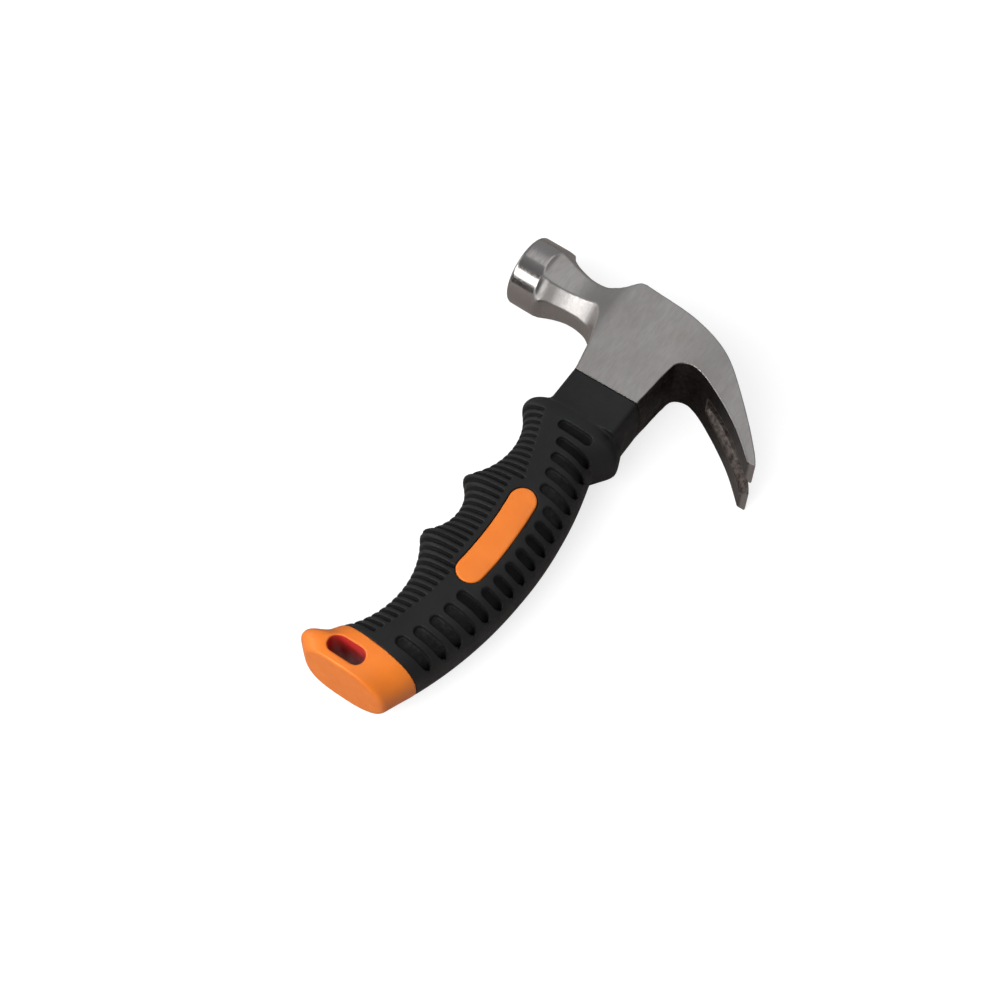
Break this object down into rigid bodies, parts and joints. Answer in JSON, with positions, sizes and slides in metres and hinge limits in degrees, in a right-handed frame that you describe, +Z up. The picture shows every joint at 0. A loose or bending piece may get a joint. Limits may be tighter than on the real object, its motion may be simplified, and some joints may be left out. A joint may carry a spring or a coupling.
{
  "type": "claw hammer",
  "caption": "Short forged claw hammer with a black rubber grip moulded over an orange handle that has a hanging hole in its butt.",
  "frame": {"origin": "centre of the bounding box in plan, on the surface that the hammer lies on", "axes": "+Z up, across the hammer's thickness; +X from the striking face to the claws; +Y along the handle to the head"},
  "size_m": [0.095, 0.1496, 0.025],
  "materials": {
    "forged_steel": "ground forging, satin with fine grain",
    "orange_plastic": "moulded, semi-gloss",
    "black_rubber": "matt moulded elastomer",
    "fibreglass": "pultruded rod, matt",
    "epoxy": "cured adhesive",
    "seal": "matt"
  },
  "bodies": {
    "root": {"hammer_head": "forged_steel", "handle_body": "orange_plastic", "grip": "black_rubber", "handle_core": "fibreglass", "eye_epoxy": "epoxy", "eye_seal": "seal"}
  },
  "joints": []
}
